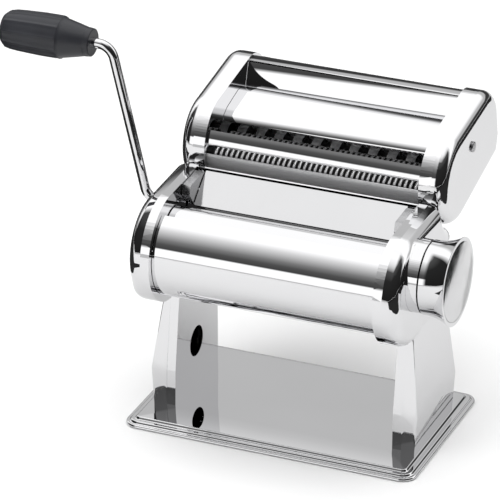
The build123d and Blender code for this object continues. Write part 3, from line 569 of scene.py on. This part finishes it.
class PASTA_OT_body_sheets(PastaOperator):
    """Roll the front guard, crown the feed tray and smooth the rear cover"""

    bl_idname = "pasta.body_sheets"
    bl_label = "Body sheets"

    def execute(self, context):
        # The guard: an arc of radius R and one of R less the sheet, closed by a lip, carried along X.
        low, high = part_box("front_guard")
        radius, sheet = 31.5 * MM, 1.2 * MM
        centre = (low.y + radius, low.z + radius)
        top = math.degrees(math.asin((high.z - centre[1]) / radius))
        outer = arc_points(centre, radius, 180 - top, 270, 96)
        inner = arc_points(centre, radius - sheet, 270, 180 - top, 96)
        lip = np.array([(high.y, low.z), (high.y, low.z + sheet)])
        guard = carried("front_guard_sheet", np.concatenate([outer, lip, inner]), low.x, high.x)
        put(guard, "cover", "machine_frame", "cover_chrome", "front_guard")
        # The tray: a straight back below the line from nose to tail, and a face above it that rises by
        # a crown times sin(pi t) for t from 0 at the nose to 1 at the tail, carried along X.
        crown, over, under = 0.35 * MM, 0.55 * MM, 0.45 * MM
        low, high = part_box("feed_tray")
        nose = np.array([low.y, low.z])
        tail = np.array([high.y, high.z])
        along = (tail - nose) / np.linalg.norm(tail - nose)
        up = np.array([-along[1], along[0]])
        length = np.linalg.norm(tail - nose)
        t = np.linspace(0, 1, 24)
        rise = crown * np.sin(np.pi * t) + over
        face = nose + along * (length * t)[:, None] + up * rise[:, None]
        back = nose + along * (length * t[::-1])[:, None] - up * under
        tray = carried("feed_tray_sheet", np.concatenate([face, back]), low.x, high.x)
        put(tray, "tray", "machine_frame", "tray_chrome", "feed_tray")
        smooth_copy("rear_cover", "rear_cover_sheet", "cover")
        return {"FINISHED"}


class PASTA_OT_rollers(PastaOperator):
    """Smooth the two dough rollers"""

    bl_idname = "pasta.rollers"
    bl_label = "Rollers"

    def execute(self, context):
        for name in ("front_roller", "rear_roller"):
            smooth_copy(name, f"{name}_drum", "roller")
        return {"FINISHED"}


class PASTA_OT_dial(PastaOperator):
    """Turn the gap dial: knob, cap and collar"""

    bl_idname = "pasta.dial"
    bl_label = "Gap dial"

    def execute(self, context):
        # The knob's side is a horn: its radius is a + (b - a) t^flare for t from 0 at the back to 1 at the rim.
        y, z = middle("dial_knob", 1), middle("dial_knob", 2)
        back = span("dial_knob", 0)[0]
        rim = (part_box("dial_knob")[1].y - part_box("dial_knob")[0].y) / 2
        bore, depth, waist, flare = 5.06 * MM, 18 * MM, 23.7 * MM, 2.2
        t = np.linspace(0, 1, 48)
        side = np.column_stack([back + depth * t, waist + (rim - waist) * t**flare])
        mouth = [(18.0, 25.6), (16.8, 25.6), (16.8, 24.5), (13.0, 23.0), (4.0, 21.0)]
        mouth = np.array(mouth) * MM + np.array([back, 0])
        web = np.array([(back + 4 * MM, bore), (back, bore)])
        knob = lathe("dial_knob_body", soften(np.concatenate([side, mouth, web]), 0.35 * MM, 4), y, z, 144)
        put(knob, "dial", "dial_grip", "dial_chrome", "dial_knob")
        low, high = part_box("dial_cap")
        edge = (high.y - low.y) / 2
        chamfer = [(high.x - 0.5 * MM, edge), (high.x, edge - 1.2 * MM)]
        face = [(low.x, 0), (low.x, edge), *chamfer, (high.x - 0.1 * MM, 0)]
        cap = lathe("dial_cap_disc", face, y, z, 144, closed=False)
        put(cap, "dial_face", "dial_grip", "dial_chrome", "dial_cap")
        smooth_copy("dial_collar", "dial_collar_ring", "dial")
        return {"FINISHED"}


class PASTA_OT_crank(PastaOperator):
    """Bend the crank rod and mould its fluted grip"""

    bl_idname = "pasta.crank"
    bl_label = "Crank"

    def execute(self, context):
        sizes = context.scene.pasta_sizes
        low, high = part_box("crank_rod")
        y = (low.y + high.y) / 2
        r = sizes.rod_radius
        bottom, top = low.z + r, high.z - r
        arm_foot, arm_head = -108 * MM, -132.5 * MM
        route = np.array([(high.x, bottom), (arm_foot, bottom), (arm_head, top), (low.x, top)])
        grid = round_bar(bent_line(route, sizes.rod_bend, 24), y, r, 40)
        put(skin("crank_rod_bent", grid), "rod", "crank", "crank_chrome", "crank_rod")
        self.mould_grip(sizes)
        return {"FINISHED"}

    def mould_grip(self, sizes):
        """Grip radius: a profile along X less a flute depth times 1 - |cos(nq/2)|^10 inside the held part."""
        low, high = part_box("crank_grip")
        cap_low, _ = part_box("crank_grip_cap")
        y, z = (low.y + high.y) / 2, (low.z + high.z) / 2
        big = (high.z - low.z) / 2
        x = high.x - np.array([0, 0.4, 3.4, 4.0, 4.6, 12, 19.6, 20.4, 21.2, 22.4, 35, 50, 55, 59, 61.5, 62.7]) * MM
        neck, body = [0.60, 0.64, 0.665, 0.66, 0.668, 0.79, 0.905, 0.93], [0.985, 1, 1, 0.955, 0.925, 0.86, 0.7, 0.4]
        radius = big * np.array(neck + body)
        held = np.array([0, 0, 0, 0, 0, 0, 0, 0, 0.4, 1, 1, 1, 1, 0.6, 0, 0])
        t = np.linspace(0, 1, len(x))
        fine = np.linspace(0, 1, 121)
        x, radius, held = (np.interp(fine, t, v) for v in (x, radius, held))
        q = np.linspace(0, 2 * np.pi, 264, endpoint=False)
        panel = 1 - np.abs(np.cos(sizes.grip_flutes * q / 2)) ** 10
        outer = radius[:, None] - sizes.grip_flute_depth * held[:, None] * panel
        ends = np.array([[high.x, sizes.rod_radius + 0.05 * MM], [cap_low.x, 0.0]])
        x = np.concatenate([ends[:1, 0], x, ends[1:, 0]])
        ring = np.ones((1, len(q)))
        outer = np.concatenate([ends[0, 1] * ring, outer, ends[1, 1] * ring])
        x = np.maximum(x, cap_low.x)
        grid = np.stack([np.tile(x[:, None], (1, len(q))), y + outer * np.cos(q), z + outer * np.sin(q)], axis=-1)
        grip = skin("crank_grip_moulded", grid, cap=False, sharp=28)
        put(grip, "grip", "crank_handle", "grip_plastic", "crank_grip", "crank_grip_cap")


class PASTA_OT_cutting_head(PastaOperator):
    """Form the cutting head's sheets and smooth its rollers"""

    bl_idname = "pasta.cutting_head"
    bl_label = "Cutting head"

    def execute(self, context):
        for node in (
            "cutter_rear_guide",
            "cutter_rear_shell",
            "cutter_middle_guard",
            "cutter_front_guard",
            "cutter_lower_plate",
        ):
            smooth_copy(node, f"{node}_sheet", "plate" if node == "cutter_lower_plate" else "cover", 50)
        lift, groove_depth = 1.15, 0.3 * MM
        tone = tuple(min(1.0, c * lift) for c in context.scene.pasta_finish.chrome)
        for row in ("front", "rear"):
            for family, roughness, shine in (("fine", 0.14, 0.85), ("wide", 0.3, 0.15)):
                node = f"{family}_{row}_cutter"
                y, z = middle(node, 1), middle(node, 2)
                groove = (span(node, 1)[1] - span(node, 1)[0]) / 2 - groove_depth
                FINISH[node] = ringed_roller(f"Rings_{family}_{row}", tone, roughness, shine, y, z, groove)
                smooth_copy(node, f"{family}_{row}_rings", node)
        return {"FINISHED"}


class PASTA_OT_small_parts(PastaOperator):
    """Smooth the remaining turned and pressed parts that show"""

    bl_idname = "pasta.small_parts"
    bl_label = "Small parts"

    def execute(self, context):
        smooth_copy("crank_escutcheon", "crank_escutcheon_ring", "dial")
        smooth_copy("cutter_cover_screws", "cutter_screw_heads", "hardware")
        smooth_copy("tie_rods", "tie_rod_bars", "hardware")
        smooth_copy("dial_shaft", "dial_shaft_turned", "hardware")
        spring = smooth_copy("dial_spring", "dial_spring_coil", "hardware", 60)
        spring.modifiers.clear()
        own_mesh(spring)
        return {"FINISHED"}


class PASTA_OT_stage(PastaOperator):
    """Set the pale floor, the soft lights, the surroundings that the chrome mirrors and the camera"""

    bl_idname = "pasta.stage"
    bl_label = "Stage"

    def execute(self, context):
        self.surroundings(context.scene)
        self.floor()
        self.lights()
        self.camera(context.scene)
        context.scene.view_settings.view_transform = "Standard"
        context.scene.view_settings.look = "None"
        return {"FINISHED"}

    def surroundings(self, scene):
        """Soft studio seen in the chrome. Straight ahead and behind, brightness goes by the angle about X
        of the direction looked in, with 0 at the front horizon and 90 overhead; off to the sides the
        room is dark up to the lamps."""
        world = bpy.data.worlds.new("Studio")
        scene.world = world
        world.use_nodes = True
        tree = world.node_tree
        background = tree.nodes["Background"]
        place = tree.nodes.new("ShaderNodeTexCoord")
        split = tree.nodes.new("ShaderNodeSeparateXYZ")
        tree.links.new(place.outputs["Generated"], split.inputs["Vector"])

        def maths(operation, *sources):
            node = tree.nodes.new("ShaderNodeMath")
            node.operation = operation
            for socket, source in zip(node.inputs, sources):
                if isinstance(source, (int, float)):
                    socket.default_value = source
                else:
                    tree.links.new(source, socket)
            return node.outputs["Value"]

        ahead = maths("MULTIPLY", split.outputs["Y"], -1)
        turn = maths("DIVIDE", maths("ARCTAN2", split.outputs["Z"], ahead), 2 * math.pi)
        stops = [((degrees + 180) / 360, grey) for degrees, grey in ROOM_BY_ANGLE]
        front = ramp(tree, maths("ADD", turn, 0.5), stops)
        side = ramp(tree, split.outputs["Z"], SIDE_BY_HEIGHT)
        across = ramp(tree, maths("MULTIPLY_ADD", split.outputs["X"], 0.5, 0.5), SHARE_ACROSS)
        near = ramp(tree, maths("MULTIPLY_ADD", ahead, 0.5, 0.5), SHARE_AHEAD)
        share = maths("MULTIPLY", across, near)
        mix = tree.nodes.new("ShaderNodeMix")
        mix.data_type = "RGBA"
        tree.links.new(share, mix.inputs["Factor"])
        colour_a, colour_b, colour_out = mix.inputs[6], mix.inputs[7], mix.outputs[2]
        tree.links.new(front, colour_a)
        tree.links.new(side, colour_b)
        tree.links.new(colour_out, background.inputs["Color"])
        far = 3
        self.card("dark_side_left", (-far, -0.25), (-0.3, far), 2 * MM, 0.02)
        self.card("dark_side_right", (0.3, far), (-far, far), 2 * MM, 0.02)
        self.card("table_seen_in_chrome", (-far, far), (-far, far), 0.4 * MM, 0.7)

    def sheet(self, name, across, ahead, height):
        """A flat rectangle on the stage, between two values of X and two of Y."""
        (left, right), (front, back) = across, ahead
        corners = [(left, front, height), (right, front, height), (right, back, height), (left, back, height)]
        mesh = bpy.data.meshes.new(name)
        mesh.from_pydata(corners, [], [(0, 1, 2, 3)])
        sheet = bpy.data.objects.new(name, mesh)
        bpy.context.scene.collection.objects.link(sheet)
        return sheet

    def card(self, name, across, ahead, height, grey):
        """A plain sheet just above the floor that is only seen mirrored in the chrome."""
        sheet = self.sheet(name, across, ahead, height)
        material, tree, shader = new_material(name)
        shader.inputs["Base Color"].default_value = (grey, grey, grey, 1)
        shader.inputs["Roughness"].default_value = 1.0
        shader.inputs["Specular IOR Level"].default_value = 0.0
        sheet.data.materials.append(material)
        sheet.visible_camera = sheet.visible_diffuse = sheet.visible_shadow = False

    def floor(self):
        """A pale floor, far wider than the view."""
        half = 4.0
        floor = self.sheet("floor", (-half, half), (-half, half), 0)
        material, tree, shader = new_material("PaleFloor")
        shader.inputs["Roughness"].default_value = 0.9
        shader.inputs["Specular IOR Level"].default_value = 0.1
        tint = ramp(tree, noise(tree, 3, 2), [(0.3, 0.9), (0.7, 0.92)])
        tree.links.new(tint, shader.inputs["Base Color"])
        floor.data.materials.append(material)

    def lights(self):
        """Two large soft lamps, one overhead and one to the front left, that the chrome doesn't mirror."""
        centre = (CAD_LOW + CAD_HIGH) / 2
        for name, place, size, power in (
            ("overhead", (0.1, -0.2, 1.7), 2.6, 34),
            ("left_soft", (-1.2, -1.3, 1.0), 1.2, 9),
        ):
            lamp = bpy.data.lights.new(name, "AREA")
            lamp.size = size
            lamp.energy = power
            lamp_object = bpy.data.objects.new(name, lamp)
            lamp_object.location = place
            lamp_object.rotation_euler = (centre - Vector(place)).to_track_quat("-Z", "Y").to_euler()
            lamp_object.visible_glossy = False
            bpy.context.scene.collection.objects.link(lamp_object)

    def camera(self, scene):
        """A long lens from the front right, a little above the machine."""
        azimuth, elevation, distance = math.radians(22.706), math.radians(26.033), 2.676
        back = Vector(
            (math.sin(azimuth) * math.cos(elevation), -math.cos(azimuth) * math.cos(elevation), math.sin(elevation))
        )
        right = Vector((math.cos(azimuth), math.sin(azimuth), 0))
        up = back.cross(right)
        foot = Vector((middle("base_plate", 0), middle("base_plate", 1), 0))
        camera = bpy.data.cameras.new("camera")
        camera.sensor_width, camera.lens = 36, 297.3
        camera.clip_end = 50
        eye = bpy.data.objects.new("camera", camera)
        aside, above = 0.0333, 0.1052
        eye.location = foot + back * distance - right * aside + up * above
        eye.rotation_euler = back.to_track_quat("Z", "Y").to_euler()
        scene.collection.objects.link(eye)
        scene.camera = eye


class PASTA_PT_panel(bpy.types.Panel):
    """Lists the machine's sizes, finishes and steps"""

    bl_label = "Pasta machine"
    bl_idname = "PASTA_PT_panel"
    bl_space_type = "VIEW_3D"
    bl_region_type = "UI"
    bl_category = "Pasta Machine"

    def draw(self, context):
        column = self.layout.column()
        for group in (context.scene.pasta_sizes, context.scene.pasta_finish):
            for name in group.__annotations__:
                column.prop(group, name)
        for step in STEPS:
            column.operator(step.bl_idname)


STEPS = (
    PASTA_OT_finishes,
    PASTA_OT_base,
    PASTA_OT_sides,
    PASTA_OT_body_sheets,
    PASTA_OT_rollers,
    PASTA_OT_dial,
    PASTA_OT_crank,
    PASTA_OT_cutting_head,
    PASTA_OT_small_parts,
    PASTA_OT_stage,
)
CLASSES = (PastaMachineSizes, PastaMachineFinish, *STEPS, PASTA_PT_panel)


def register():
    for cls in CLASSES:
        bpy.utils.register_class(cls)
    bpy.types.Scene.pasta_sizes = PointerProperty(type=PastaMachineSizes)
    bpy.types.Scene.pasta_finish = PointerProperty(type=PastaMachineFinish)


def unregister():
    del bpy.types.Scene.pasta_finish
    del bpy.types.Scene.pasta_sizes
    for cls in reversed(CLASSES):
        bpy.utils.unregister_class(cls)


def main():
    register()
    for step in STEPS:
        group, name = step.bl_idname.split(".")
        getattr(getattr(bpy.ops, group), name)()


if __name__ == "__main__":
    main()
